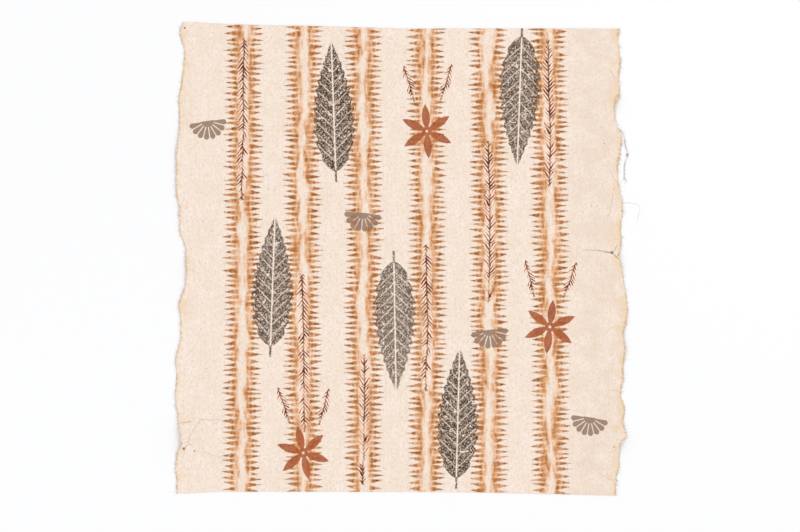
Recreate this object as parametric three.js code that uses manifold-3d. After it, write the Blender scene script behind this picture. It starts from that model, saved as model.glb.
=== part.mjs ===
// A tapa bark cloth: one sheet of beaten inner bark with torn, fibrous side edges, lying face up.
// Millimetres. +X is the printed face's right, +Y its top and +Z up, away from what it lies on.
// The origin is on the underside, below the middle of the sheet.

import * as THREE from 'three';
import { mergeVertices } from 'three/addons/utils/BufferGeometryUtils.js';
import Module from 'manifold-3d';

const wasm = await Module();
wasm.setup();

// Driving dimensions
const THICKNESS = 1.2;
const ROW_STEP = 7.2;
const RIM_COLUMNS = [0, 5, 12, 22, 36, 60];
const MIDDLE_COLUMNS = 3;

// A short table becomes a list of rows whose values go by the names of their columns.
function table(columns, rows) {
  return rows.map((row) => Object.fromEntries(columns.map((name, i) => [name, row[i]])));
}

// The side edges from the top down: a row for each headland and bay of the torn bark.
// up is measured from the middle of the sheet, out is how far the edge stands from the centre line.
const LEFT_EDGE = table(['up', 'out'], [
  [320, 303.8], [307, 307.9], [293, 305.0], [274, 301.1], [252, 304.3], [232, 305.9], [217, 309.4],
  [180, 307.8], [143, 312.5], [93, 312.5], [63, 308.2], [39, 308.3], [9, 299.8], [-30, 299.2],
  [-64, 308.9], [-81, 306.9], [-106, 307.4], [-141, 313.7], [-158, 311.9], [-185, 314.0],
  [-220, 310.1], [-249, 305.1], [-268, 311.9], [-285, 313.7], [-305, 311.9], [-320, 312.4],
]);
const RIGHT_EDGE = table(['up', 'out'], [
  [320, 286.3], [305, 283.9], [274, 287.8], [248, 285.4], [228, 286.5], [210, 278.8], [193, 280.8],
  [166, 289.3], [144, 286.7], [128, 283.6], [104, 285.5], [73, 290.7], [40, 287.6], [29, 289.2],
  [8, 286.1], [-22, 291.7], [-69, 296.9], [-102, 291.7], [-119, 293.9], [-150, 290.8],
  [-161, 291.5], [-181, 287.8], [-202, 293.2], [-219, 291.1], [-238, 295.9], [-250, 286.6],
  [-277, 286.2], [-302, 281.2], [-320, 281.2],
]);

// The cut ends, from the left corner across: right is measured from the centre line.
const TOP_EDGE = table(['right', 'up'], [
  [-304, 319.5], [-236, 316.2], [-118, 313.9], [9, 310.6], [184, 310.8], [286, 310.1],
]);
const BOTTOM_EDGE = table(['right', 'up'], [
  [-312, -317.0], [-245, -314.4], [-111, -314.4], [45, -315.0], [212, -317.9], [282, -319.5],
]);

// Where an edge cockles and stands off the surface: how far along it, how far in, and how high.
const LIFTED_PLACES = table(['side', 'up', 'along', 'inward', 'height'], [
  ['left', 126, 120, 30, 1.6],
  ['left', -20, 50, 26, 2.2],
  ['left', -242, 34, 38, 5.5],
  ['right', 208, 20, 22, 3.2],
  ['right', -4, 24, 26, 2.4],
  ['right', -110, 60, 24, 1.6],
  ['right', -249, 18, 30, 5.0],
]);

// Loose strands of bast at the right edge, from the root inside the sheet to the tip.
const BAST_STRAND = {
  width: 1.5,
  depth: 0.7,
  steps: 20,
  route: table(['right', 'up'], [
    [283, 176], [289, 171], [292.3, 165], [294.2, 152], [297, 140], [293.6, 129], [292.4, 114], [293, 102],
  ]),
};
const FINE_FIBRE = {
  width: 0.8,
  depth: 0.5,
  steps: 16,
  route: table(['right', 'up'], [
    [284, 75.6], [291, 75.2], [300, 75.2], [309, 73.4], [313.5, 68.5], [311.7, 59], [309, 47],
  ]),
};

// A smooth line through a table's rows that never swings past a headland or a bay.
function smoothLine(rows, along, value) {
  const points = [...rows].sort((a, b) => a[along] - b[along]);
  const slopes = points.slice(1).map((point, i) => (
    (point[value] - points[i][value]) / (point[along] - points[i][along])
  ));
  const tangents = points.map((point, i) => {
    const before = slopes[i - 1] ?? 0;
    const after = slopes[i] ?? 0;
    return before * after > 0 ? (2 * before * after) / (before + after) : 0;
  });
  return (at) => {
    const clamped = THREE.MathUtils.clamp(at, points[0][along], points.at(-1)[along]);
    const i = Math.max(1, points.findIndex((point) => point[along] >= clamped)) - 1;
    const span = points[i + 1][along] - points[i][along];
    const t = (clamped - points[i][along]) / span;
    const rise = points[i + 1][value] - points[i][value];
    const ease = t * t * (3 - 2 * t);
    const leave = t * (1 - t) ** 2 * tangents[i];
    const arrive = t * t * (1 - t) * tangents[i + 1];
    return points[i][value] + rise * ease + span * (leave - arrive);
  };
}

const leftOut = smoothLine(LEFT_EDGE, 'up', 'out');
const rightOut = smoothLine(RIGHT_EDGE, 'up', 'out');
const topUp = smoothLine(TOP_EDGE, 'right', 'up');
const bottomUp = smoothLine(BOTTOM_EDGE, 'right', 'up');

const easeToEdge = (away, reach) => THREE.MathUtils.smoothstep(1 - Math.abs(away) / reach, 0, 1);

// How far the underside stands off the surface at a place on the sheet.
function lift(right, up) {
  const inward = { left: right + leftOut(up), right: rightOut(up) - right };
  return LIFTED_PLACES.reduce((highest, place) => {
    const along = easeToEdge(up - place.up, place.along);
    const across = easeToEdge(inward[place.side], place.inward);
    return Math.max(highest, place.height * along * across);
  }, 0);
}

// The places of a row's points between the two side edges: close together near the rims.
function rowPlaces(left, right) {
  const inner = RIM_COLUMNS.at(-1);
  const middle = Array.from({ length: MIDDLE_COLUMNS }, (_, i) => (
    THREE.MathUtils.lerp(left + inner, right - inner, (i + 1) / (MIDDLE_COLUMNS + 1))
  ));
  const leftRim = RIM_COLUMNS.map((inward) => left + inward);
  const rightRim = [...RIM_COLUMNS].reverse().map((inward) => right - inward);
  return [...leftRim, ...middle, ...rightRim];
}

// The sheet's closed skin: an underside, the same grid one thickness above it, and the rim between.
function sheetGeometry() {
  const lowest = BOTTOM_EDGE.at(-1).up;
  const highest = TOP_EDGE[0].up;
  const rows = Math.round((highest - lowest) / ROW_STEP);
  const under = [];
  for (let j = 0; j <= rows; j += 1) {
    const share = j / rows;
    const level = THREE.MathUtils.lerp(lowest, highest, share);
    for (const right of rowPlaces(-leftOut(level), rightOut(level))) {
      const up = THREE.MathUtils.lerp(bottomUp(right), topUp(right), share);
      under.push([right, up, lift(right, up)]);
    }
  }
  const over = under.map(([right, up, low]) => [right, up, low + THICKNESS]);
  const columns = under.length / (rows + 1);
  const faces = [];
  const quad = (a, b, c, d) => faces.push(a, b, c, a, c, d);
  const at = (i, j) => j * columns + i;
  for (let j = 0; j < rows; j += 1) {
    for (let i = 0; i < columns - 1; i += 1) {
      const corners = [at(i, j), at(i + 1, j), at(i + 1, j + 1), at(i, j + 1)];
      quad(...corners.map((corner) => corner + under.length));
      quad(...corners.reverse());
    }
  }
  const rim = [];
  for (let i = 0; i < columns - 1; i += 1) rim.push(at(i, 0));
  for (let j = 0; j < rows; j += 1) rim.push(at(columns - 1, j));
  for (let i = columns - 1; i > 0; i -= 1) rim.push(at(i, rows));
  for (let j = rows; j > 0; j -= 1) rim.push(at(0, j));
  rim.forEach((from, i) => {
    const to = rim[(i + 1) % rim.length];
    quad(from, to, to + under.length, from + under.length);
  });
  const geometry = new THREE.BufferGeometry();
  geometry.setAttribute('position', new THREE.Float32BufferAttribute([...under, ...over].flat(), 3));
  geometry.setIndex(faces);
  return geometry;
}

// A flat strand of four sides that lies level on the surface.
function strandGeometry({ width, depth, steps, route }) {
  const line = new THREE.CatmullRomCurve3(
    route.map(({ right, up }) => new THREE.Vector3(right, up, depth / 2)),
  );
  const section = new THREE.Shape([
    new THREE.Vector2(-depth / 2, -width / 2),
    new THREE.Vector2(depth / 2, -width / 2),
    new THREE.Vector2(depth / 2, width / 2),
    new THREE.Vector2(-depth / 2, width / 2),
  ]);
  return new THREE.ExtrudeGeometry(section, { steps, bevelEnabled: false, extrudePath: line });
}

function toSolid(geometry) {
  geometry.deleteAttribute('normal');
  geometry.deleteAttribute('uv');
  const merged = mergeVertices(geometry, 1e-3);
  return new wasm.Manifold(new wasm.Mesh({
    numProp: 3,
    vertProperties: new Float32Array(merged.attributes.position.array),
    triVerts: new Uint32Array(merged.index.array),
  }));
}

function toGeometry(solid) {
  const mesh = solid.getMesh();
  const geometry = new THREE.BufferGeometry();
  geometry.setAttribute('position', new THREE.BufferAttribute(mesh.vertProperties, mesh.numProp));
  geometry.setIndex(new THREE.BufferAttribute(mesh.triVerts, 1));
  geometry.computeVertexNormals();
  return geometry;
}

const barkMaterial = new THREE.MeshStandardMaterial({ color: '#f4e0d0', roughness: 0.92, metalness: 0 });

const cloth = [BAST_STRAND, FINE_FIBRE].reduce(
  (solid, strand) => solid.add(toSolid(strandGeometry(strand))),
  toSolid(sheetGeometry()),
);

const sheet = new THREE.Mesh(toGeometry(cloth), barkMaterial);
sheet.name = 'bark_cloth';

const part = new THREE.Group();
part.add(sheet);

export default part;
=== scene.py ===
# %% [markdown]
# # A tapa bark cloth, laid out face up
#
# Tapa isn't woven. The inner bark of a tree is soaked and beaten with a grooved mallet until its
# fibres felt into one thin sheet, which is then printed and painted with bark dyes and soot.
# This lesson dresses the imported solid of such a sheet: a finer sheet with torn rims and creases,
# the fibres that stand off its rims, and one procedural material that lays the inks on the bark.
# Lengths are in millimetres here, and become metres where a mesh is made.

import bpy
import numpy as np
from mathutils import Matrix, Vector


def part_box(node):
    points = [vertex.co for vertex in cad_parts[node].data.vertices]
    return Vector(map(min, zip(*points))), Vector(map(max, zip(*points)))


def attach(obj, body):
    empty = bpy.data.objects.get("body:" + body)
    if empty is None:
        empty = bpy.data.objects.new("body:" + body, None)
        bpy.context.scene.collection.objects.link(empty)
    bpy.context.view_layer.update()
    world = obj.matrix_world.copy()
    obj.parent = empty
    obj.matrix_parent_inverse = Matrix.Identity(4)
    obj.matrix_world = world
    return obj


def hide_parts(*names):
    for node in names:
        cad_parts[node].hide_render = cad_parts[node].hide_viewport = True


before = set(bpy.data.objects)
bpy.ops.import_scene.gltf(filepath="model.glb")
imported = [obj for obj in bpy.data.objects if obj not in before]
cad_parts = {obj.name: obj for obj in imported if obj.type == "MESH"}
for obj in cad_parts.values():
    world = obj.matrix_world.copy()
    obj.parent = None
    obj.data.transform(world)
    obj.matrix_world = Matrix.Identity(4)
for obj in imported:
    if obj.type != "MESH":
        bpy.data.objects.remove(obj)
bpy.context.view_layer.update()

MM = 0.001
SHEET_NODE = "bark_cloth"
low, high = (np.array(corner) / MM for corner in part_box(SHEET_NODE))
print("the packed sheet reaches from", low.round(1), "to", high.round(1), "mm")

# %% [markdown]
# ## The camera
#
# The cloth is shown face on, so the camera hangs straight above it. A long lens from far away
# keeps the sides parallel. Its distance follows from the width of the picture on the cloth.

# %% Hang the camera
PICTURE = (800, 532)
MM_A_PIXEL = 1.35
SHEET_MIDDLE_PIXEL = (407.6, 258.7)
LENS = 85.0
SENSOR = 36.0

camera = bpy.data.objects.new("camera", bpy.data.cameras.new("camera"))
camera.data.lens, camera.data.sensor_width = LENS, SENSOR
camera.location = (
    (PICTURE[0] / 2 - SHEET_MIDDLE_PIXEL[0]) * MM_A_PIXEL * MM,
    (SHEET_MIDDLE_PIXEL[1] - PICTURE[1] / 2) * MM_A_PIXEL * MM,
    PICTURE[0] * MM_A_PIXEL * LENS / SENSOR * MM,
)
bpy.context.collection.objects.link(camera)
bpy.context.scene.camera = camera
print("the camera hangs", round(camera.location.z, 2), "m above the cloth")

# %% [markdown]
# ## The studio
#
# Cloth like this is photographed on white in even, soft light, so that the dyes show true. The
# white sky gives most of it. One big lamp to the upper right adds a little, enough to draw the
# creases and to lay a soft shadow under the lifted rims. The Standard view keeps the colours as
# they are set.

# %% Light the cloth
LAMPS = {
    # name: place in metres, size in metres, power in watts, colour
    "key_lamp": ((2.2, 1.4, 3.0), 1.0, 26.0, (1.0, 0.99, 0.97)),
    "fill_lamp": ((-2.6, -1.9, 2.4), 2.4, 23.0, (1.0, 1.0, 1.0)),
}
SKY = (0.99, 0.995, 1.0)
SKY_STRENGTH = 0.81

for name, (place, size, power, colour) in LAMPS.items():
    lamp = bpy.data.objects.new(name, bpy.data.lights.new(name, "AREA"))
    lamp.data.shape, lamp.data.size = "DISK", size
    lamp.data.energy, lamp.data.color = power, colour
    lamp.location = place
    lamp.rotation_euler = (-lamp.location).to_track_quat("-Z", "Y").to_euler()
    bpy.context.collection.objects.link(lamp)

world = bpy.data.worlds.new("studio")
world.use_nodes = True
world.node_tree.nodes["Background"].inputs["Color"].default_value = (*SKY, 1)
world.node_tree.nodes["Background"].inputs["Strength"].default_value = SKY_STRENGTH
bpy.context.scene.world = world
bpy.context.scene.view_settings.view_transform = "Standard"
print("lamps:", ", ".join(LAMPS))

# %% [markdown]
# ## Colours and nodes
#
# Colours are read off as sRGB hex values, but shaders add and multiply light, which needs linear
# numbers. One function turns the first into the second, and one small function adds any node.

# %% Helpers for every material
def paint(hex_colour):
    """An sRGB hex colour as the linear colour that a shader wants."""
    parts = [int(hex_colour[i:i + 2], 16) / 255 for i in (1, 3, 5)]
    return (*[c / 12.92 if c <= 0.04045 else ((c + 0.055) / 1.055) ** 2.4 for c in parts], 1.0)


def add(tree, kind, inputs=None, out=0, **settings):
    """Adds a node: inputs holds its sockets' values or what feeds them. Returns one of its outputs."""
    node = tree.nodes.new(kind)
    for name, value in settings.items():
        setattr(node, name, value)
    for name, value in (inputs or {}).items():
        if isinstance(value, bpy.types.NodeSocket):
            tree.links.new(value, node.inputs[name])
        else:
            node.inputs[name].default_value = value
    return node.outputs[out] if len(node.outputs) else None


def new_material(name):
    """An empty material and its tree."""
    material = bpy.data.materials.new(name)
    material.use_nodes = True
    material.node_tree.nodes.clear()
    return material, material.node_tree


print("half grey in sRGB is", round(paint("#808080")[0], 3), "in linear light")

# %% [markdown]
# ## The floor
#
# The cloth lies on matt white paper that is far larger than the picture. One square is enough,
# because soft light shows no grain on paper from this far. It lies a hair below the sheet, so
# that the two never share a plane.

# %% Lay the floor
FLOOR_HALF = 6.0
FLOOR_DROP = 0.0004

# Uncoated white paper scatters light evenly, so it shows soft shadows and no gloss at all.
paper, tree = new_material("matt_white_paper")
white = add(tree, "ShaderNodeBsdfDiffuse", {"Color": paint("#fdfdfe")})
add(tree, "ShaderNodeOutputMaterial", {"Surface": white})
corners = [
    (x * FLOOR_HALF, y * FLOOR_HALF, -FLOOR_DROP)
    for x, y in ((-1, -1), (1, -1), (1, 1), (-1, 1))
]
floor_mesh = bpy.data.meshes.new("floor")
floor_mesh.from_pydata(corners, [], [(0, 1, 2, 3)])
floor_mesh.materials.append(paper)
floor = bpy.data.objects.new("floor", floor_mesh)
bpy.context.collection.objects.link(floor)
print("the floor is", 2 * FLOOR_HALF, "m wide")

# %% [markdown]
# ## The outline
#
# The two ends of the sheet were cut and are nearly straight. The two sides are the torn sides of
# the bark, a run of low headlands and shallow bays. Each row below is one of them, measured from
# the middle of the sheet, in the sizes of the solid. A curve through such rows must not swing
# past them, so its slope at each row is nought where the edge turns back, and otherwise the
# harmonic mean of its neighbours' slopes.

# %% Draw the outline
LEFT_EDGE = [  # up, out
    (320, 303.8), (307, 307.9), (293, 305.0), (274, 301.1), (252, 304.3), (232, 305.9), (217, 309.4),
    (180, 307.8), (143, 312.5), (93, 312.5), (63, 308.2), (39, 308.3), (9, 299.8), (-30, 299.2),
    (-64, 308.9), (-81, 306.9), (-106, 307.4), (-141, 313.7), (-158, 311.9), (-185, 314.0),
    (-220, 310.1), (-249, 305.1), (-268, 311.9), (-285, 313.7), (-305, 311.9), (-320, 312.4),
]
RIGHT_EDGE = [  # up, out
    (320, 286.3), (305, 283.9), (274, 287.8), (248, 285.4), (228, 286.5), (210, 278.8), (193, 280.8),
    (166, 289.3), (144, 286.7), (128, 283.6), (104, 285.5), (73, 290.7), (40, 287.6), (29, 289.2),
    (8, 286.1), (-22, 291.7), (-69, 296.9), (-102, 291.7), (-119, 293.9), (-150, 290.8),
    (-161, 291.5), (-181, 287.8), (-202, 293.2), (-219, 291.1), (-238, 295.9), (-250, 286.6),
    (-277, 286.2), (-302, 281.2), (-320, 281.2),
]
TOP_EDGE = [  # right, up
    (-304, 319.5), (-236, 316.2), (-118, 313.9), (9, 310.6), (184, 310.8), (286, 310.1),
]
BOTTOM_EDGE = [  # right, up
    (-312, -317.0), (-245, -314.4), (-111, -314.4), (45, -315.0), (212, -317.9), (282, -319.5),
]


def smooth_line(rows):
    """A smooth curve through rows of (place, value) that never swings past a row."""
    place, value = np.array(sorted(rows)).T
    span = np.diff(place)
    slope = np.diff(value) / span
    turn = np.zeros(len(place))
    onward = slope[:-1] * slope[1:] > 0
    turn[1:-1][onward] = 2 / (1 / slope[:-1][onward] + 1 / slope[1:][onward])

    def value_at(at):
        at = np.clip(at, place[0], place[-1])
        i = np.clip(np.searchsorted(place, at, side="right") - 1, 0, len(span) - 1)
        t = (at - place[i]) / span[i]
        bend = t * (1 - t) ** 2 * turn[i] - t * t * (1 - t) * turn[i + 1]
        return value[i] + (value[i + 1] - value[i]) * t * t * (3 - 2 * t) + span[i] * bend

    return value_at


left_out, right_out = smooth_line(LEFT_EDGE), smooth_line(RIGHT_EDGE)
top_up, bottom_up = smooth_line(TOP_EDGE), smooth_line(BOTTOM_EDGE)
print("headlands and bays:", len(LEFT_EDGE), "on the left,", len(RIGHT_EDGE), "on the right")

# %% [markdown]
# ## Chance that repeats
#
# Nothing beaten by hand is even. Lumps, torn edges and cockles come from smooth chance: seeded
# random numbers on a lattice, blended between its points. The size of a lump is given in
# millimetres, so each kind of unevenness has a real scale.

# %% Smooth chance
LATTICE = 512


def ease(t):
    """A soft step from 0 to 1."""
    t = np.clip(t, 0, 1)
    return t * t * (3 - 2 * t)


def chance(seed, width, length, right, up):
    """Smooth chance from -1 to 1, with lumps of the given width and length."""
    value = np.random.default_rng(seed).uniform(-1, 1, (LATTICE, LATTICE))
    across, along = np.asarray(right) / width + LATTICE, np.asarray(up) / length + LATTICE
    i, j = np.floor(across).astype(int), np.floor(along).astype(int)
    s, t = ease(across - i), ease(along - j)
    i, j, i_next, j_next = i % LATTICE, j % LATTICE, (i + 1) % LATTICE, (j + 1) % LATTICE
    near = value[i, j] * (1 - s) + value[i_next, j] * s
    far = value[i, j_next] * (1 - s) + value[i_next, j_next] * s
    return near * (1 - t) + far * t


print("lumps of 6 mm would repeat after", 6 * LATTICE, "mm, well past the sheet")

# %% [markdown]
# ## How the sheet lies
#
# The cloth is flat but for a few places where its sides cockle and stand off the table, and
# these are in the solid too. On top of them come what only the dressed sheet shows: shallow
# cockles from drying, and the creases, each laid where the cloth has it. A crease is a
# soft trough with a low lip beside it, or a soft ridge.

# %% Lifted rims, cockles and creases
LIFTED_PLACES = [  # side, up, reach along, reach inward, height
    ("left", 126, 120, 30, 1.6),
    ("left", -20, 50, 26, 2.2),
    ("left", -242, 34, 38, 5.5),
    ("right", 208, 20, 22, 3.2),
    ("right", -4, 24, 26, 2.4),
    ("right", -110, 60, 24, 1.6),
    ("right", -249, 18, 30, 5.0),
]
COCKLES = [  # seed, lump width, lump length, height
    (11, 46.0, 90.0, 0.30),
    (12, 17.0, 30.0, 0.15),
    (13, 6.0, 14.0, 0.05),
]
# A crease's darkness is how dark its painted shade is.
CREASES = [  # points as (right, up), half width, depth (a trough) or minus height (a ridge), darkness
    ([(238, 11), (246, 11.8), (256, 11.4), (266, 9.4), (275, 8.2)], 1.6, 0.55, 0.85),
    ([(275, 8.2), (279, 5), (283.5, 1)], 1.7, 0.55, 0.9),
    ([(275, 8.2), (279.5, 11), (282, 17)], 1.5, 0.4, 0.5),
    ([(268, 257), (275, 252), (280, 244)], 1.8, 0.45, 0.25),
    ([(274, -178), (284, -178)], 1.4, 0.4, 0.3),
    ([(261, -291), (268, -295), (276, -299)], 1.6, 0.4, 0.25),
    ([(-311, -222.4), (-302, -221), (-294, -220)], 1.8, 0.45, 0.5),
    ([(-281, -216), (-268, -218), (-254, -217)], 2.2, 0.45, 0.3),
    ([(-279, -218), (-288, -230), (-294, -240), (-296, -252)], 2.6, 0.55, 0.3),
    ([(-287, -260), (-272, -262), (-256, -267), (-248, -269)], 2.4, 0.4, 0.2),
    ([(-291, -250), (-297, -252), (-302, -256)], 1.5, 0.5, 0.6),
    ([(-112, 266), (-100, 262), (-87, 266)], 1.4, 0.3, 0.3),
    ([(-83, 172), (-75, 173), (-66, 171)], 1.4, 0.3, 0.25),
    ([(270, 55), (274, 68), (277, 88)], 1.6, 0.3, 0.3),
    ([(269, 126), (275, 114), (284, 101)], 1.6, 0.3, 0.25),
    ([(276, 140), (272, 120), (275, 104), (271, 86)], 2.2, -0.4, 0.0),
    ([(280, 66), (276, 50), (279, 34)], 2.2, -0.4, 0.0),
    ([(268, -20), (272, -44), (269, -66)], 2.4, -0.35, 0.0),
    ([(278, 284), (282, 266), (279, 240), (275, 226)], 2.0, -0.4, 0.0),
    ([(-300, 250), (-297, 220), (-301, 196)], 2.4, -0.35, 0.0),
    ([(-304, 40), (-296, 10), (-294, -24)], 2.4, -0.35, 0.0),
]
LIP_SHARE, LIP_AWAY = 0.3, 2.6  # a lip's height as a share of the depth, and its place in half widths


def lift(right, up):
    """How far the underside stands off the table."""
    inward = {"left": right + left_out(up), "right": right_out(up) - right}
    height = np.zeros(np.broadcast(right, up).shape)
    for side, at, along, reach, most in LIFTED_PLACES:
        share = ease(1 - np.abs(up - at) / along) * ease(1 - np.abs(inward[side]) / reach)
        height = np.maximum(height, most * share)
    return height


def away_from(points, right, up):
    """How far each place is from a crease, and how near the crease's middle: 1 there, 0 at its ends."""
    points = np.array(points, float)
    total = np.linalg.norm(np.diff(points, axis=0), axis=1).sum()
    nearest, share, run = np.full(right.shape, 1e6), np.zeros(right.shape), 0.0
    for start, end in zip(points, points[1:]):
        step = end - start
        length = np.linalg.norm(step)
        t = ((right - start[0]) * step[0] + (up - start[1]) * step[1]) / length ** 2
        t = np.clip(t, 0, 1)
        gap = np.hypot(right - start[0] - t * step[0], up - start[1] - t * step[1])
        share = np.where(gap < nearest, (run + t * length) / total, share)
        nearest = np.minimum(gap, nearest)
        run += length
    return nearest, ease(4 * share * (1 - share) * 1.6)


def relief(right, up):
    """How far the top stands above its even level."""
    height = sum(most * chance(seed, wide, long, right, up) for seed, wide, long, most in COCKLES)
    for points, half_width, depth, _ in CREASES:
        gap, share = away_from(points, right, up)
        height = height - depth * share * np.exp(-(gap / half_width) ** 2)
        lip_gap = gap - LIP_AWAY * half_width
        height = height + LIP_SHARE * depth * share * np.exp(-(lip_gap / half_width) ** 2)
    return height


print("lifted places:", len(LIFTED_PLACES), "and creases:", len(CREASES))

# %% [markdown]
# ## The sheet's mesh
#
# A sheet like this could start as a subdivided plane that is cut to the outline, but then its
# torn rim would follow the squares of the grid. Here the rows run from rim to rim, so the rim
# is always an edge of the mesh. Columns crowd towards the sides, where the tears and creases
# are, and thin out over the flat middle. The underside is the same grid, one thickness lower,
# so the sheet is closed. Bast felts thin at its torn sides, so the thickness falls there.

# %% Place the grid
ROWS = 404
RIM_PLACES = [0, 0.6, 1.4, 2.4, 3.7, 5.2, 7.0, 9.2]
NEAR_RIM = np.arange(12.0, 76.0, 3.1)
MIDDLE_COLUMNS = 56
MIDDLE_THICK, RIM_THICK, RIM_FADE, LEAST_THICK = 1.0, 0.42, 6.0, 0.25
THICK_WANDER = 0.14
TEARS = [(21, 7.0, 0.8), (22, 3.2, 0.55)]  # seed, length and depth of the small tears of a side
END_FRAY, END_FRAY_LENGTH = 0.35, 4.0

lowest, highest = BOTTOM_EDGE[-1][1], TOP_EDGE[0][1]
share = np.linspace(0, 1, ROWS + 1)[:, None]
level = lowest + (highest - lowest) * share
torn = {
    side: sum(deep * chance(seed + i, 1.0, long, 0.5, level) for seed, long, deep in TEARS)
    for i, side in enumerate(("left", "right"))
}
left_rim, right_rim = -left_out(level) - torn["left"], right_out(level) + torn["right"]
inward = np.concatenate([RIM_PLACES, NEAR_RIM])
between = np.linspace(0, 1, MIDDLE_COLUMNS + 2)[1:-1]
reach = inward[-1]
grid_right = np.hstack([
    left_rim + inward,
    (left_rim + reach) * (1 - between) + (right_rim - reach) * between,
    right_rim - inward[::-1],
])
top_end = top_up(grid_right) + END_FRAY * chance(31, END_FRAY_LENGTH, 1.0, grid_right, 0.5)
bottom_end = bottom_up(grid_right) + END_FRAY * chance(32, END_FRAY_LENGTH, 1.0, grid_right, 0.5)
grid_up = bottom_end * (1 - share) + top_end * share
rim_gap = np.minimum(grid_right - left_rim, right_rim - grid_right)
end_gap = np.minimum(grid_up - bottom_up(grid_right), top_up(grid_right) - grid_up)
rim_gap = np.minimum(rim_gap, np.maximum(end_gap, 0) + 1.5)
thick = RIM_THICK + (MIDDLE_THICK - RIM_THICK) * (1 - np.exp(-rim_gap / RIM_FADE))
thick = thick * (1 + THICK_WANDER * chance(41, 8.0, 12.0, grid_right, grid_up))
under = lift(grid_right, grid_up)
over = under + np.maximum(thick + relief(grid_right, grid_up), LEAST_THICK)
print("grid:", grid_right.shape, "thickness", round(float((over - under).mean()), 2), "mm on average")

# %% Close the sheet
SHARP_ANGLE = 0.9  # radians

lines, columns = grid_right.shape
bottom_points = np.stack([grid_right, grid_up, under], axis=-1).reshape(-1, 3)
top_points = np.stack([grid_right, grid_up, over], axis=-1).reshape(-1, 3)
points = np.concatenate([top_points, bottom_points])
number = np.arange(lines * columns).reshape(lines, columns)
top_faces = np.stack(
    [number[:-1, :-1], number[:-1, 1:], number[1:, 1:], number[1:, :-1]], axis=-1
).reshape(-1, 4)
under_faces = top_faces[:, ::-1] + number.size
rim = np.concatenate([number[0, :-1], number[:-1, -1], number[-1, :0:-1], number[:0:-1, 0]])
rim_next = np.roll(rim, -1)
rim_faces = np.stack([rim + number.size, rim_next + number.size, rim_next, rim], axis=-1)
faces = np.concatenate([top_faces, under_faces, rim_faces])

sheet_mesh = bpy.data.meshes.new("bark_sheet")
sheet_mesh.from_pydata((points * MM).tolist(), [], faces.tolist())
sheet_mesh.polygons.foreach_set("use_smooth", [True] * len(faces))
sheet_mesh.set_sharp_from_angle(angle=SHARP_ANGLE)
print("the sheet has", 2 * len(faces), "triangles")

# %% [markdown]
# ## Where the inks go
#
# A printed leaf or a tooth is far finer than the grid, so it can't be painted on its points.
# Instead each kind of print has an attribute on the corners of the faces, which holds where the
# corner lies in that print's own millimetres: across it, along it, and a third number of its
# own. Such numbers blend evenly over a face, so the shader gets the exact place of each spot
# and draws the print as sharply as the render needs. Faces that no print reaches hold FAR. Where
# two prints of one kind reach the same face, the nearer one gets it.

# %% A place for every print
FAR = 999.0
corner_points = points[faces]
corner_right, corner_up = corner_points[..., 0], corner_points[..., 1]
face_right, face_up = corner_right.mean(axis=1), corner_up.mean(axis=1)
is_top = np.arange(len(faces)) < len(top_faces)  # the printed face
prints = {
    name: np.full((len(faces), 4, 3), (FAR, FAR, 0.0))
    for name in ("band", "fern", "leaf", "flower", "fan", "stain", "speck", "crease")
}
nearest_print = {name: np.full(len(faces), FAR) for name in prints}


def lay(name, at, turn, half_width, half_length, third=1.0, scale=1.0):
    """Writes a print's coordinates on the faces that its box reaches; turn is in degrees."""
    cos, sin = np.cos(np.radians(turn)), np.sin(np.radians(turn))
    right, up = corner_right - at[0], corner_up - at[1]
    across, along = right * cos + up * sin, up * cos - right * sin
    held = is_top & (across.min(axis=1) < half_width) & (across.max(axis=1) > -half_width)
    held &= (along.min(axis=1) < half_length) & (along.max(axis=1) > -half_length)
    gap = np.hypot(across, np.maximum(np.abs(along) - half_length, 0)).mean(axis=1)
    held &= gap < nearest_print[name]
    nearest_print[name][held] = gap[held]
    place = np.stack([across / scale, along / scale, np.full(across.shape, third)], axis=-1)
    prints[name][held] = place[held]
    return held


print("kinds of print:", ", ".join(prints))

# %% [markdown]
# ## The toothed bands
#
# Six bands of brown bark dye run from end to end, each a little off straight. Rows of spikes
# point outwards from both of their sides, a traditional border. The coordinates across a band
# are measured from its own wandering middle, and the band's number goes in the third place, so
# that no two bands get the same teeth. The dye also soaks through, so the underside gets them.

# %% Run the bands
BANDS = [  # middle of the band at the bottom end, the middle and the top end
    (-223.5, -222.3, -220.4),
    (-140.5, -142.2, -139.4),
    (-59.8, -59.3, -59.5),
    (26.0, 26.6, 25.4),
    (109.9, 109.8, 108.4),
    (192.9, 192.0, 190.0),
]
BAND_HALF = 33.0
DRIFT_LENGTH, DRIFT = 60.0, 1.1


def band_middle(index, up):
    """Where the middle of a band runs."""
    ends = smooth_line(list(zip((lowest, 0.0, highest), BANDS[index])))
    return ends(up) + DRIFT * chance(51 + index, 1.0, DRIFT_LENGTH, 0.5, up)


band_gap = np.array([np.abs(face_right - band_middle(i, face_up)) for i in range(len(BANDS))])
nearest_band = band_gap.argmin(axis=0)
for index in range(len(BANDS)):
    held = (nearest_band == index) & (band_gap[index] < BAND_HALF)
    across = corner_right[held] - band_middle(index, corner_up[held])
    prints["band"][held] = np.stack([across, corner_up[held], np.full(across.shape, index)], axis=-1)
print("bands:", len(BANDS))

# %% [markdown]
# ## Ferns in the bands
#
# Real fronds were inked and pressed on. In a band such a frond covers the pale middle for a
# hand's length or two. The third number is how much of the frond's width is left, which shrinks
# towards both of its ends. A frond points up or down, so the coordinate along it may be turned
# over. It is also shifted for each run, so that no two fronds have the same leaflets.

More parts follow.
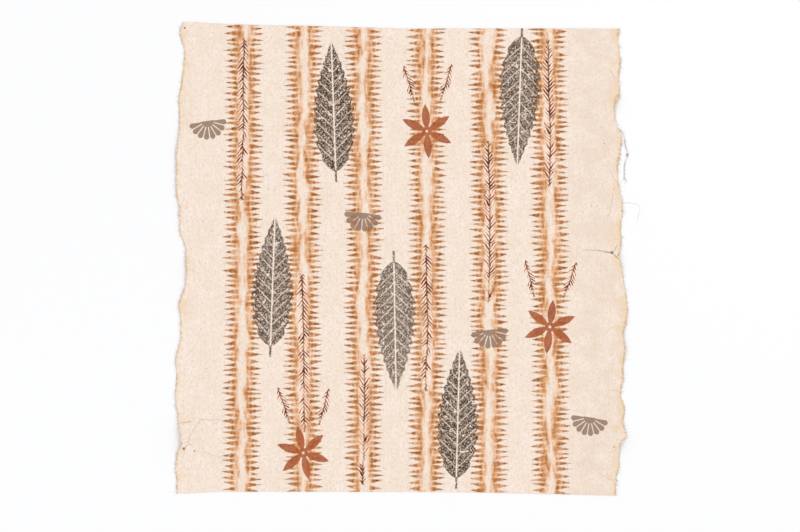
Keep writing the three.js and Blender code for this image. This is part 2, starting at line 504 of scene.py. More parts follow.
# %% Press the ferns
FERN_RUNS = [  # band, lower end, upper end, way that the frond points
    (0, 78, 300, 1),
    (1, -235, -20, 1),
    (2, -306, -128, -1),
    (3, -180, 20, 1),
    (4, -60, 160, -1),
    (5, 96, 296, -1),
]
FERN_HALF, FERN_FADE, FERN_ROOM = 7.9, 30.0, 7.0
FERN_SWAY, FERN_SWAY_LENGTH, RUN_SHIFT = 2.2, 80.0, 97.0

for index, bottom, top, way in FERN_RUNS:
    held = is_top & (nearest_band == index) & (band_gap[index] < FERN_HALF + FERN_ROOM)
    held &= (face_up > bottom - FERN_FADE) & (face_up < top + FERN_FADE)
    up = corner_up[held]
    sway = FERN_SWAY * chance(61 + index, 1.0, FERN_SWAY_LENGTH, 0.5, up)
    across = corner_right[held] - band_middle(index, up) + sway
    inside = np.minimum(up - bottom, top - up) / FERN_FADE
    along = up * way + RUN_SHIFT * index
    prints["fern"][held] = np.stack([across, along, np.clip(inside, -1, 1)], axis=-1)
print("fern runs:", len(FERN_RUNS))

# %% [markdown]
# ## Leaves, flowers, fans and sprigs
#
# The prints between and over the bands are plain, common ones in the colours and sizes of the
# cloth's own, in a layout made up for this part: toothed leaves in soot with bare veins,
# six-petalled flowers in rust, small half-round fans in grey, and sprigs of fern that stand in
# pairs over the flowers. Each row places one print.

# %% Lay the single prints
LEAVES = [  # right, up, turn, depth of the soot
    (-100, 206, 2.0, 1.0),
    (151, 212, 178.0, 0.95),
    (-182, -30, -2.0, 0.95),
    (-17, -92, 181.0, 0.9),
    (68, -208, -1.5, 1.0),
]
LEAF_HALF_WIDTH, LEAF_HALF_LENGTH, STALK = 29.0, 88.0, 15.0
FLOWERS = [  # right, up, turn
    (26, 172, 4),
    (-141, -262, 12),
    (192, -92, -7),
]
FLOWER_REACH = 38.0
FANS = [  # right, up, turn
    (-270, 186, 8),
    (-60, 62, -6),
    (110, -96, 7),
    (246, -214, -9),
]
FAN_REACH = 26.0
SPRIGS = [  # right, up, turn: the way that the sprig's tip points
    (2, 236, 18), (52, 238, -16),
    (-167, -198, 20), (-113, -200, -14),
    (165, -27, 15), (219, -29, -19),
]
SPRIG_HALF_LENGTH, SPRIG_SCALE = 26.0, 0.9
PRINT_ROOM = 2.0

for right, up, turn, depth in LEAVES:
    half_length = LEAF_HALF_LENGTH + STALK
    lay("leaf", (right, up), turn, LEAF_HALF_WIDTH + PRINT_ROOM, half_length, depth)
for kind, reach, rows in (("flower", FLOWER_REACH, FLOWERS), ("fan", FAN_REACH, FANS)):
    for right, up, turn in rows:
        lay(kind, (right, up), turn, reach, reach)
for right, up, turn in SPRIGS:
    half_width = FERN_HALF * SPRIG_SCALE + PRINT_ROOM
    held = lay("fern", (right, up), turn, half_width, SPRIG_HALF_LENGTH, scale=SPRIG_SCALE)
    inside = SPRIG_HALF_LENGTH - np.abs(prints["fern"][held, :, 1]) * SPRIG_SCALE
    prints["fern"][held, :, 2] = np.clip(inside / SPRIG_HALF_LENGTH, -1, 1)
print("leaves, flowers, fans, sprigs:", len(LEAVES), len(FLOWERS), len(FANS), len(SPRIGS))

# %% [markdown]
# ## Stains, specks and painted shade in the creases
#
# Sap that wasn't soaked out leaves yellow stains, mostly near the rims. Bits of dark outer bark
# stay in the felt as specks, and the creases get brown lines of painted shade. Each has its own
# row. The coordinates are divided by the mark's radius, so the shader draws every mark at size one.

# %% Place the marks
STAINS = [  # right, up, radius, depth
    (279.0, -2.0, 9.0, 0.6), (281.0, 26.0, 8.0, 0.5), (277.0, 262.0, 9.0, 0.4),
    (274.0, 226.0, 7.0, 0.4), (285.0, -92.0, 8.0, 0.55), (276.0, -120.0, 8.0, 0.3),
    (281.0, -228.0, 9.0, 0.55), (272.0, -294.0, 10.0, 0.4), (280.0, 100.0, 8.0, 0.4),
    (268.0, 152.0, 7.0, 0.3), (-303.0, -262.0, 9.0, 0.45), (-304.0, 300.0, 8.0, 0.3),
    (-298.0, 262.0, 8.0, 0.45), (-285.0, 160.0, 9.0, 0.25), (-300.0, -60.0, 9.0, 0.35),
    (-238.0, -272.0, 8.0, 0.35), (-16.0, -26.0, 7.0, 0.3), (-136.0, -230.0, 6.0, 0.35),
    (228.0, 268.0, 8.0, 0.25), (262.0, -56.0, 10.0, 0.25),
]
SPECKS = [  # right, up, radius, darkness
    (-300.8, 311.4, 1.5, 0.9), (264.9, 155.6, 1.1, 0.6), (248.3, 70.6, 1.0, 0.55),
    (255.6, 70.6, 1.0, 0.6), (171.6, -18.8, 1.2, 0.6), (278.2, -253.7, 1.3, 0.7),
    (-301.6, -256.1, 2.3, 0.8), (-287.4, -259.1, 1.3, 0.8), (-271.5, -148.2, 1.1, 0.5),
    (-138.0, -227.6, 1.2, 0.55), (-16.1, -28.1, 1.2, 0.5), (275.6, 8.2, 2.7, 0.75),
    (278.4, 94.0, 1.0, 0.4), (-239.0, -268.0, 1.6, 0.3), (284.0, 5.0, 1.2, 0.6),
]
STAIN_STRETCH, SPECK_ROOM = 1.4, 1.2

for right, up, radius, depth in STAINS:
    lay("stain", (right, up), 0, radius, STAIN_STRETCH * radius, depth, radius)
for right, up, radius, darkness in SPECKS:
    lay("speck", (right, up), 0, SPECK_ROOM * radius, SPECK_ROOM * radius, darkness, radius)
for crease, half_width, depth, darkness in CREASES:
    for i, (start, end) in enumerate(zip(crease, crease[1:])):
        run = np.subtract(end, start)
        middle, turn = np.add(start, end) / 2, np.degrees(np.arctan2(-run[0], run[1]))
        if darkness:
            # Painted shade along the crease, darker towards its last point.
            crease_shade_depth = darkness * (i + 2) / len(crease)
            lay("crease", middle, turn, half_width, np.hypot(*run) / 2, crease_shade_depth, half_width)
print("stains and specks:", len(STAINS), len(SPECKS))

# %% [markdown]
# ## Attributes and the map for baking
#
# The material also wants to know how far a spot is from the rim, because the bark is yellower
# there, and which face it is on: that is the attribute named rim. The UV map gives the printed
# face nearly all of the map, and the plain underside and the narrow rim the rest.

# %% Write the attributes
inward_left = grid_right + left_out(grid_up)
inward_right = right_out(grid_up) - grid_right
rim_values = np.stack([inward_left, inward_right, np.ones_like(grid_right)], axis=-1).reshape(-1, 3)
rim_values = np.concatenate([rim_values, rim_values * (1, 1, 0)])
layer = sheet_mesh.attributes.new("rim", "FLOAT_VECTOR", "POINT")
layer.data.foreach_set("vector", rim_values.astype(np.float32).ravel())
for name, values in prints.items():
    layer = sheet_mesh.attributes.new(name, "FLOAT_VECTOR", "CORNER")
    layer.data.foreach_set("vector", values.astype(np.float32).ravel())
print("attributes: rim,", ", ".join(prints))

# %% Spread the map
TOP_SHARE, UNDER_END, MAP_GAP = 0.86, 0.97, 0.004
RIM_STRIP = (0.975, 0.995)

across = (corner_right - low[0]) / (high[0] - low[0])
along = (corner_up - low[1]) / (high[1] - low[1])
top_along = MAP_GAP + along * (TOP_SHARE - 2 * MAP_GAP)
under_along = TOP_SHARE + MAP_GAP + along * (UNDER_END - TOP_SHARE - 2 * MAP_GAP)
map_right = MAP_GAP + across * (1 - 2 * MAP_GAP)
map_up = np.where(is_top[:, None], top_along, under_along)
rim_run = np.arange(len(rim_faces)) / len(rim_faces)
rim_end = rim_run + 1 / len(rim_faces)
rim_start = 2 * len(top_faces)
map_right[rim_start:] = MAP_GAP + (1 - 2 * MAP_GAP) * np.stack(
    [rim_run, rim_end, rim_end, rim_run], axis=-1)
map_up[rim_start:] = np.repeat(RIM_STRIP, 2)
layer = sheet_mesh.uv_layers.new(name="OFBake")
layer.data.foreach_set("uv", np.stack([map_right, map_up], axis=-1).astype(np.float32).ravel())
print("the printed face gets", round(100 * TOP_SHARE), "% of the map")

# %% [markdown]
# ## Bare bark
#
# Bare felted bast is matt and a warm cream. Three things keep it from being one flat colour:
# clouds where the felt is thicker, pale and dark streaks that the beating drew out lengthwise,
# and the yellower, untrimmed bast along the torn sides. The beater's grooves and the matted
# fibres are too fine to model, so they go to the bump. Sizes of all patterns are in millimetres.

# %% Colours of the bark
BARK, BARK_DEEP, BARK_PINK = paint("#fdeee2"), paint("#f3dec9"), paint("#fdebe5")
BARK_SHADE = paint("#e2cab6")
RIM_TAN, RIM_LINE, STAIN = paint("#f1d6b2"), paint("#bd9164"), paint("#efd0a0")
CLOUD, MOTTLE, STREAK_WIDE, STREAK_LONG = 26.0, 3.4, 2.6, 46.0
FLECK_WIDE, FLECK_LONG = 2.0, 4.4
FIBRE = 0.9  # a real bast fibre is 0.02 mm across: this is a bundle of them, wide enough to show

# Felted cellulose: it bends light about as the shader's own IOR does, but its loose fibres
# scatter nearly all of it, so the eye sees no gloss, only a faint sheen at grazing light.
ROUGHNESS, SPECULAR = 0.93, 0.2
bark, tree = new_material("beaten_bast_with_bark_dyes")


def read(tree, name):
    """A print's coordinates: across it, along it, and its third number."""
    place = add(tree, "ShaderNodeAttribute", out="Vector", attribute_name=name)
    split = add(tree, "ShaderNodeSeparateXYZ", {"Vector": place}).node
    return split.outputs["X"], split.outputs["Y"], split.outputs["Z"]


def ramp(tree, value, start, end, lowest=0.0, highest=1.0, smooth=True, times=None):
    """A value's way from lowest at start to highest at end, level beyond, times an amount if given."""
    way = add(tree, "ShaderNodeMapRange", {
        "Value": value, "From Min": start, "From Max": end, "To Min": lowest, "To Max": highest,
    }, interpolation_type="SMOOTHSTEP" if smooth else "LINEAR")
    if times is None:
        return way
    return add(tree, "ShaderNodeMath", {0: times, 1: way}, operation="MULTIPLY")


def uneven_ramp(tree, value, pattern, wander, start, end, lowest=0.0, highest=1.0):
    """A ramp whose place a pattern shifts by up to so many millimetres."""
    moved = add(tree, "ShaderNodeMath", {0: pattern, 1: wander, 2: value}, operation="MULTIPLY_ADD")
    return ramp(tree, moved, start, end, lowest, highest)


def lay_over(tree, under, layers):
    """Lays colours over each other in turn: each layer is an amount and a colour."""
    for amount, colour in layers:
        under = add(tree, "ShaderNodeMix", {0: amount, 6: under, 7: colour}, out=2, data_type="RGBA")
    return under


def from_middle(tree, across, along):
    """How far a spot is from the middle of its print."""
    place = add(tree, "ShaderNodeCombineXYZ", {"X": across, "Y": along})
    return add(tree, "ShaderNodeVectorMath", {0: place}, out="Value", operation="LENGTH")


print("the felt's grain shows bundles", FIBRE, "mm wide, in clouds of", CLOUD, "mm")

# %% Patterns that all the inks share
table_place = add(tree, "ShaderNodeTexCoord", out="Object")
spot = add(tree, "ShaderNodeVectorMath", {0: table_place, "Scale": 1 / MM}, operation="SCALE")


def drawn_out(tree, width, length, roughness=0.5):
    """Noise whose lumps are drawn out lengthwise, as the beating and the rubbing leave them."""
    place = add(tree, "ShaderNodeVectorMath", {0: spot, 1: (1 / width, 1 / length, 1)},
                operation="MULTIPLY")
    return add(tree, "ShaderNodeTexNoise", {
        "Vector": place, "Scale": 1.0, "Detail": 3.0, "Roughness": roughness})


grain = add(tree, "ShaderNodeTexNoise", {"Vector": spot, "Scale": 1 / FIBRE, "Detail": 2.0})
cloud = add(tree, "ShaderNodeTexNoise", {
    "Vector": spot, "Scale": 1 / CLOUD, "Detail": 5.0, "Roughness": 0.6})
mottle = add(tree, "ShaderNodeTexNoise", {
    "Vector": spot, "Scale": 1 / MOTTLE, "Detail": 3.0, "Roughness": 0.6})
streak = drawn_out(tree, STREAK_WIDE, STREAK_LONG)
fleck = drawn_out(tree, FLECK_WIDE, FLECK_LONG, 0.65)
inward_left, inward_right, face = read(tree, "rim")
soaked = ramp(tree, face, 0, 1, 0.2, 1.0, smooth=False)
print("shared patterns: grain, cloud, mottle, streak, fleck")

# %% Mix the bare bark
UNDERTONES = [  # pattern, where it starts, where it is full, its most, its colour
    (cloud, 0.35, 0.7, 0.55, BARK_DEEP),
    (streak, 0.45, 0.75, 0.5, BARK_DEEP),
    (streak, 0.5, 0.2, 0.8, BARK_PINK),
    (mottle, 0.42, 0.7, 0.75, BARK_DEEP),
    (fleck, 0.47, 0.73, 0.75, BARK_SHADE),
]
DARKER_RIGHT_FULL, DARKER_RIGHT_FADE, DARKER_RIGHT_MOST = 40.0, 90.0, 0.26

felt = lay_over(tree, BARK, [
    (ramp(tree, pattern, start, end, 0.0, most), colour)
    for pattern, start, end, most, colour in UNDERTONES])
# The felt is a little darker towards the right side, more so in the clouds.
darker_right = ramp(tree, inward_right, DARKER_RIGHT_FADE, DARKER_RIGHT_FULL, 0.0, DARKER_RIGHT_MOST)
darker_right = ramp(tree, cloud, 0.3, 0.6, 0.3, 1.0, times=darker_right)
felt = lay_over(tree, felt, [(darker_right, BARK_SHADE)])
print("nodes so far:", len(tree.nodes))

# %% [markdown]
# Along the torn sides the bast is tan, wider on the right than on the left, and a brown line
# follows the very rim, broken by the mottle. Stains come on top.

# %% Tan the rims and stain them
NARROWER_LEFT = 5.0  # how much less far the tan reaches on the left
TAN_BY_CLOUD, TAN_BY_MOTTLE = -44.0, -34.0  # how far clouds and mottle draw it inwards
TAN_NONE, TAN_FULL, TAN_MOST = -26.0, -46.0, 0.9

rim_gap = add(tree, "ShaderNodeMath", {0: inward_left, 1: inward_right}, operation="MINIMUM")
paler_left = add(tree, "ShaderNodeMath", {0: inward_left, 1: NARROWER_LEFT}, operation="ADD")
tan_gap = add(tree, "ShaderNodeMath", {0: paler_left, 1: inward_right}, operation="MINIMUM")
tan_gap = add(tree, "ShaderNodeMath", {0: cloud, 1: TAN_BY_CLOUD, 2: tan_gap}, operation="MULTIPLY_ADD")
tan = uneven_ramp(tree, tan_gap, mottle, TAN_BY_MOTTLE, TAN_NONE, TAN_FULL, 0.0, TAN_MOST)
rim_line = uneven_ramp(tree, rim_gap, streak, 2.4, 4.2, 2.0, 0.0, 0.5)
rim_line = ramp(tree, mottle, 0.38, 0.58, 0.25, 1.0, times=rim_line)
across, along, depth = read(tree, "stain")
stain = uneven_ramp(tree, from_middle(tree, across, along), mottle, 1.0, 1.4, 0.4)
stain = add(tree, "ShaderNodeMath", {0: stain, 1: depth}, operation="MULTIPLY")
felt = lay_over(tree, felt, [(tan, RIM_TAN), (rim_line, RIM_LINE), (stain, STAIN)])
print("nodes so far:", len(tree.nodes))

# %% [markdown]
# ## Bark dye in toothed bands
#
# The brown is a clear bark dye, rubbed on over a stencil in uneven smears. Mixing its colour
# over the bark would look like poster paint, so it is worked as a glaze: each coat lets a share
# of the light through, and more coats let through that share to the power of their number. So
# thin dye is a pale orange, thick dye a deep brown, and all steps between them come by
# themselves. A thick film also dulls: it takes out some red as well.
#
# A tooth is a spike around each whole number along the band. How far it reaches, leans and how
# dark it is come from chance that belongs to that tooth, so that no two are alike but each is
# one clean spike. The dye pools at the points and fades out towards the pale middle.

# %% Print the bands
# What one coat of dye lets through, at the roots and at the tips, where it ran and dried darker
COAT, COAT_AT_TIP = paint("#efc5a4"), paint("#e0bba3")
DULL_COAT = paint("#eaffff")[:3]  # what each coat on top of a thick one takes out as well: some red
THICK_FROM, THICK_TO = 0.9, 3.9
COATS, CORE_COATS = 1.34, 0.03
TOOTH_PITCH, TOOTH_LEAST, TOOTH_MORE = 7.6, 22.5, 5.0
TOOTH_DRIFT_LENGTH, TOOTH_DRIFT, TOOTH_LEAN = 34.0, 8.0, 0.22
ROOT_LEAST, ROOT_MORE = 6.8, 4.0
ROOT_WIDE, TIP_WIDE = 0.64, 0.065  # half widths of a tooth, as shares of the pitch
OWN_STEP, RUN_STEP = 5.0, 613.0  # these keep the chances of all sides of all bands apart
SLOW_LENGTH = 90.0
CORE_EDGE, CORE_FADE, CORE_WANDER = 1.0, 10.4, 3.8
RUB_WIDE, RUB_LONG, RUB_RAGGED = 5.0, 17.0, 11.0


def glaze(tree, under, coat, coats):
    """The colour under a clear dye: each coat lets the same share of the light through."""
    let_through = add(tree, "ShaderNodeVectorMath", {0: coat, 1: coats}, operation="POWER")
    return add(tree, "ShaderNodeVectorMath", {0: under, 1: let_through}, operation="MULTIPLY")


def print_bands(tree, under):
    """Brown bark dye in bands, with a row of spikes on each side."""
    across, along, band = read(tree, "band")
    reach = add(tree, "ShaderNodeMath", {0: across}, operation="ABSOLUTE")
    side = add(tree, "ShaderNodeMath", {0: across}, operation="SIGN")
    own = add(tree, "ShaderNodeMath", {0: band, 1: OWN_STEP, 2: side}, operation="MULTIPLY_ADD")
    run = add(tree, "ShaderNodeMath", {0: own, 1: RUN_STEP, 2: along}, operation="MULTIPLY_ADD")
    drift = add(tree, "ShaderNodeTexNoise", {"W": run, "Scale": 1 / TOOTH_DRIFT_LENGTH},
                noise_dimensions="1D")
    spread = add(tree, "ShaderNodeMath", {0: drift, 1: TOOTH_DRIFT, 2: run}, operation="MULTIPLY_ADD")
    teeth = add(tree, "ShaderNodeMath", {0: spread, 1: TOOTH_PITCH}, operation="DIVIDE")
    number = add(tree, "ShaderNodeMath", {0: teeth}, operation="ROUND")
    own_place = add(tree, "ShaderNodeCombineXYZ", {"X": number, "Y": own})
    luck = add(tree, "ShaderNodeTexWhiteNoise", {"Vector": own_place}, out="Color",
               noise_dimensions="2D")
    parts = add(tree, "ShaderNodeSeparateXYZ", {"Vector": luck}).node
    reach_luck, lean_luck, dye_luck = (parts.outputs[axis] for axis in "XYZ")

    # A tooth: share runs from 0 at its root to 1 at its tip, room is how far inside it a spot is
    root = ramp(tree, drift, 0.3, 0.7, ROOT_LEAST, ROOT_LEAST + ROOT_MORE)
    tip = ramp(tree, reach_luck, 0, 1, TOOTH_LEAST, TOOTH_LEAST + TOOTH_MORE, smooth=False)
    share = add(tree, "ShaderNodeMapRange", {"Value": reach, "From Min": root, "From Max": tip},
                clamp=False)
    lean = ramp(tree, lean_luck, 0, 1, -TOOTH_LEAN, TOOTH_LEAN, smooth=False)
    leant = add(tree, "ShaderNodeMath", {0: lean, 1: share, 2: teeth}, operation="MULTIPLY_ADD")
    off_centre = add(tree, "ShaderNodeMath", {0: leant, 1: 0.5}, operation="PINGPONG")
    half = ramp(tree, share, -0.25, 1, ROOT_WIDE, TIP_WIDE, smooth=False)
    room = add(tree, "ShaderNodeMath", {0: half, 1: off_centre}, operation="SUBTRACT")
    worn = ramp(tree, grain, 0.3, 0.7, -0.07, 0.07)
    room = add(tree, "ShaderNodeMath", {0: room, 1: worn}, operation="ADD")

    # The bare core between the two rows wanders, and the smears make its edge ragged
    smear = drawn_out(tree, RUB_WIDE, RUB_LONG)
    slow = add(tree, "ShaderNodeTexNoise", {"W": run, "Scale": 1 / SLOW_LENGTH},
               noise_dimensions="1D")
    wander = ramp(tree, slow, 0.3, 0.7, -CORE_WANDER, CORE_WANDER, smooth=False)
    wander = add(tree, "ShaderNodeMath", {0: wander, 1: reach}, operation="ADD")
    ragged = add(tree, "ShaderNodeMath", {0: smear, 1: RUB_RAGGED, 2: wander},
                 operation="MULTIPLY_ADD")
    core_edge, core_fade = CORE_EDGE + RUB_RAGGED / 2, CORE_FADE + RUB_RAGGED / 2

    coats = ramp(tree, ragged, core_edge, core_fade, CORE_COATS * COATS, COATS)
    coats = ramp(tree, room, 0.0, 0.09, times=coats)  # none between the teeth
    coats = ramp(tree, room, 0.0, 0.4, 0.75, 1.25, times=coats)  # more inside a tooth
    coats = ramp(tree, share, 1.06, 0.98, times=coats)  # none past the tip
    coats = ramp(tree, share, -0.2, 1.0, 0.9, 1.7, smooth=False, times=coats)  # pooled at the tip
    coats = ramp(tree, smear, 0.3, 0.7, 0.5, 1.5, times=coats)  # rubbed on unevenly
    coats = ramp(tree, mottle, 0.35, 0.68, 0.78, 1.25, times=coats)  # and taken up unevenly
    coats = ramp(tree, dye_luck, 0, 1, 0.85, 1.15, smooth=False, times=coats)
    wash = ramp(tree, share, 0.55, -0.2, 0.0, 0.4)  # a thin film that joins the roots
    wash = ramp(tree, ragged, core_edge, core_fade, 0.07, 1.0, times=wash)
    wash = ramp(tree, slow, 0.35, 0.6, 0.5, 1.0, times=wash)
    coats = add(tree, "ShaderNodeMath", {0: coats, 1: wash}, operation="MAXIMUM")
    coats = add(tree, "ShaderNodeMath", {0: coats, 1: soaked}, operation="MULTIPLY")
    coat = lay_over(tree, COAT, [(ramp(tree, share, 0, 1), COAT_AT_TIP)])
    thick = ramp(tree, coats, THICK_FROM, THICK_TO, 0.0, THICK_TO - THICK_FROM, smooth=False)
    return glaze(tree, glaze(tree, under, coat, coats), DULL_COAT, thick)


printed = print_bands(tree, felt)
print("nodes so far:", len(tree.nodes))

# %% [markdown]
# ## Pressed ferns
#
# A frond that is inked and pressed leaves its leaflets pale, where they kept the dye off, with
# dark slashes between them that are strongest beside the stalk. Slashes repeat along the sum of
# the place along the stalk and the place across it, which makes them slant on both sides. The
# two sides are half a step apart, and slow chance presses some stretches harder than others.
# The ink is a glaze too, so its thin parts are a warm brown.

# %% Press the fronds
FERN_INK, FERN_RED, FERN_PALE = paint("#5a2d16"), paint("#94472b"), paint("#ffe8d6")
BARB_PITCH, BARB_SLOPE, SIDE_STEP = 5.5, 1.2, 0.17
BARB_SWAY_LENGTH, BARB_SWAY = 12.0, 8.0
SIDE_RUN = 471.0  # this keeps the chances of a frond's two sides apart
PATCH_LENGTH, STRETCH_LENGTH = 17.0, 110.0
PRESS_LUCK, LENGTH_LUCK = 0.45, 1.8  # how far leaflets differ in pressure, and in length in mm


def press_ferns(tree, under):
    """Dark slashes on both sides of a thin stalk, and pale leaflets between them."""
    across, along, presence = read(tree, "fern")
    reach = add(tree, "ShaderNodeMath", {0: across}, operation="ABSOLUTE")
    side = add(tree, "ShaderNodeMath", {0: across}, operation="SIGN")
    slant = add(tree, "ShaderNodeMath", {0: reach, 1: BARB_SLOPE, 2: along}, operation="MULTIPLY_ADD")
    sway = add(tree, "ShaderNodeTexNoise", {"W": along, "Scale": 1 / BARB_SWAY_LENGTH},
               noise_dimensions="1D")
    slant = add(tree, "ShaderNodeMath", {0: sway, 1: BARB_SWAY, 2: slant}, operation="MULTIPLY_ADD")
    barbs = add(tree, "ShaderNodeMath", {0: slant, 1: BARB_PITCH}, operation="DIVIDE")
    barbs = add(tree, "ShaderNodeMath", {0: side, 1: SIDE_STEP, 2: barbs}, operation="MULTIPLY_ADD")
    off_barb = add(tree, "ShaderNodeMath", {0: barbs, 1: 0.5}, operation="PINGPONG")
    number = add(tree, "ShaderNodeMath", {0: barbs}, operation="ROUND")
    own_place = add(tree, "ShaderNodeCombineXYZ", {"X": number, "Y": side})
    luck = add(tree, "ShaderNodeTexWhiteNoise", {"Vector": own_place}, out="Value",
               noise_dimensions="2D")

    # How hard the frond was pressed: by patches, by long stretches and by single leaflets
    own_run = add(tree, "ShaderNodeMath", {0: side, 1: SIDE_RUN, 2: along}, operation="MULTIPLY_ADD")
    patch = add(tree, "ShaderNodeTexNoise", {"W": own_run, "Scale": 1 / PATCH_LENGTH, "Detail": 2.0},
                noise_dimensions="1D")
    slow = add(tree, "ShaderNodeTexNoise", {"W": own_run, "Scale": 1 / STRETCH_LENGTH},
               noise_dimensions="1D")
    patch = add(tree, "ShaderNodeMath", {0: patch, 1: ramp(tree, slow, 0.35, 0.6, -0.12, 0.06)},
                operation="ADD")
    pressed = add(tree, "ShaderNodeMath", {0: luck, 1: PRESS_LUCK, 2: patch}, operation="MULTIPLY_ADD")

    here = ramp(tree, presence, 0, 0.1)
    half = ramp(tree, presence, 0, 1, 0.3 * FERN_HALF, FERN_HALF, smooth=False)
    uneven_half = add(tree, "ShaderNodeMath", {0: luck, 1: LENGTH_LUCK, 2: half}, operation="MULTIPLY_ADD")
    room = add(tree, "ShaderNodeMath", {0: uneven_half, 1: reach}, operation="SUBTRACT")
    within = ramp(tree, room, 0.4, 2.6, times=here)

    width = ramp(tree, reach, 0, FERN_HALF, 0.24, 0.09, smooth=False)
    for change in (
        ramp(tree, grain, 0.3, 0.7, -0.06, 0.06),
        ramp(tree, pressed, 0.6, 1.0, -0.05, 0.12),
    ):
        width = add(tree, "ShaderNodeMath", {0: width, 1: change}, operation="ADD")
    slash = add(tree, "ShaderNodeMath", {0: width, 1: off_barb}, operation="SUBTRACT")
    length = ramp(tree, pressed, 0.48, 0.95, 1.5, FERN_HALF + 1.0, smooth=False)
    left_over = add(tree, "ShaderNodeMath", {0: length, 1: reach}, operation="SUBTRACT")
    inked = ramp(tree, slash, -0.02, 0.06, times=within)
    inked = ramp(tree, left_over, -2.0, 2.5, 0.14, 1.0, times=inked)
    stalk = uneven_ramp(tree, reach, mottle, 3.2, 3.0, 1.9, 0.0, 0.95)
    stalk = ramp(tree, pressed, 0.5, 0.9, 0.3, 1.0, times=stalk)
    stalk = add(tree, "ShaderNodeMath", {0: stalk, 1: here}, operation="MULTIPLY")
    inked = add(tree, "ShaderNodeMath", {0: inked, 1: stalk}, operation="MAXIMUM")
    inked = ramp(tree, patch, 0.32, 0.6, 0.35, 0.9, times=inked)

    leaflet = add(tree, "ShaderNodeMath", {
        0: ramp(tree, off_barb, 0.16, 0.3), 1: ramp(tree, reach, 5.0, 2.0)}, operation="MAXIMUM")
    bed = add(tree, "ShaderNodeMath", {0: leaflet, 1: within}, operation="MULTIPLY")
    bed = ramp(tree, mottle, 0.3, 0.6, 0.85, 0.45, times=bed)
    bedded = lay_over(tree, under, [(bed, FERN_PALE)])
    redder = uneven_ramp(tree, reach, patch, -8.0, -4.5, 1.5)
    return glaze(tree, bedded, lay_over(tree, FERN_INK, [(redder, FERN_RED)]), inked)


printed = press_ferns(tree, printed)
print("nodes so far:", len(tree.nodes))

# %% [markdown]
# ## Leaves in soot
#
# The leaves are printed in soot from a rubbed block, and the felt's hollows stay bare, so the
# black is full of pale worms about 2 mm across. The midrib and side veins are cut out of the
# block and stay bare as well. The half width along the leaf is t to the power 0.6 times 1 - t,
# which is round at the stalk and pointed at the tip, and each side vein ends in a blunt tooth.

# %% Print the leaves
SOOT, SOOT_THIN = paint("#45362d"), paint("#8a715b")
WORM, BLOT, VEIN_PITCH, VEIN_SLOPE = 1.5, 6.0, 15.0, 1.0
LEAF_BLUNT = 0.6  # the power that rounds the foot of a leaf: 1 would point it like its tip
LEAF_FULL, LEAF_NOTCHED = 2.9, 2.4  # these make the widest place one half width, and a notch less


def leaf_half(tree, along, start, end, bluntness, fullness):
    """Half the width of a leaf or petal, from its foot at start to its tip at end."""
    t = ramp(tree, along, start, end, smooth=False)
    rest = add(tree, "ShaderNodeMath", {0: 1.0, 1: t}, operation="SUBTRACT")
    rounded = add(tree, "ShaderNodeMath", {0: t, 1: bluntness}, operation="POWER")
    half = add(tree, "ShaderNodeMath", {0: rounded, 1: rest}, operation="MULTIPLY")
    return add(tree, "ShaderNodeMath", {0: half, 1: fullness}, operation="MULTIPLY")


def print_leaves(tree, under):
    """Toothed leaves on short stalks, in speckled soot with bare veins."""
    across, along, depth = read(tree, "leaf")
    reach = add(tree, "ShaderNodeMath", {0: across}, operation="ABSOLUTE")
    curve = add(tree, "ShaderNodeMath", {0: reach, 1: -VEIN_SLOPE, 2: along}, operation="MULTIPLY_ADD")
    veins = add(tree, "ShaderNodeMath", {0: curve, 1: VEIN_PITCH / 2}, operation="PINGPONG")
    full, notched = LEAF_FULL * LEAF_HALF_WIDTH, LEAF_NOTCHED * LEAF_HALF_WIDTH
    toothed = ramp(tree, veins, 0.0, VEIN_PITCH / 2, full, notched, smooth=False)
    half = leaf_half(tree, along, -LEAF_HALF_LENGTH, LEAF_HALF_LENGTH, LEAF_BLUNT, toothed)
    room = add(tree, "ShaderNodeMath", {0: half, 1: reach}, operation="SUBTRACT")

    inside = uneven_ramp(tree, room, grain, 1.2, 0.3, 1.3)
    midrib = uneven_ramp(tree, reach, grain, 0.8, 0.9, 1.8)
    vein = uneven_ramp(tree, veins, grain, 0.8, 0.6, 1.3)
    vein = add(tree, "ShaderNodeMath", {0: vein, 1: ramp(tree, room, 5.0, 2.5)}, operation="MAXIMUM")
    for factor in (midrib, vein):
        inside = add(tree, "ShaderNodeMath", {0: inside, 1: factor}, operation="MULTIPLY")
    below = add(tree, "ShaderNodeMath", {0: along, 1: LEAF_HALF_LENGTH}, operation="ADD")
    stalk = uneven_ramp(tree, reach, grain, 0.8, 2.2, 1.6)
    stalk = ramp(tree, below, -STALK, 1.0 - STALK, times=stalk)
    stalk = ramp(tree, below, 2.0, 1.0, times=stalk)

    worms = add(tree, "ShaderNodeTexNoise", {
        "Vector": spot, "Scale": 1 / WORM, "Detail": 1.5, "Distortion": 0.6})
    blots = add(tree, "ShaderNodeTexNoise", {"Vector": spot, "Scale": 1 / BLOT, "Detail": 2.0})
    amount = add(tree, "ShaderNodeMath", {0: inside, 1: stalk}, operation="MAXIMUM")
    amount = ramp(tree, worms, 0.66, 0.5, 0.25, 1.0, times=amount)
    amount = ramp(tree, blots, 0.7, 0.62, 0.15, 1.0, times=amount)
    amount = add(tree, "ShaderNodeMath", {0: amount, 1: depth}, operation="MULTIPLY")
    soot = lay_over(tree, SOOT, [(ramp(tree, worms, 0.42, 0.6), SOOT_THIN)])
    return lay_over(tree, under, [(amount, soot)])


printed = print_leaves(tree, printed)
print("nodes so far:", len(tree.nodes))

# %% [markdown]
# ## Flowers in rust
#
# They are stencilled flat, so they have clean edges and an even, slightly mottled colour. What
# turns around a middle is drawn by its angle: PINGPONG gives how far a spot's angle is from the
# nearest petal, and then one petal's outline serves all six.

# %% Stencil the flowers
RUST, RUST_DEEP = paint("#b9653a"), paint("#9a4f2d")
PETALS, PETAL_HALF, PETAL_START = 6, 5.6, 1.5
EYE = (1.4, 2.4)  # the bare eye and where the rust is full


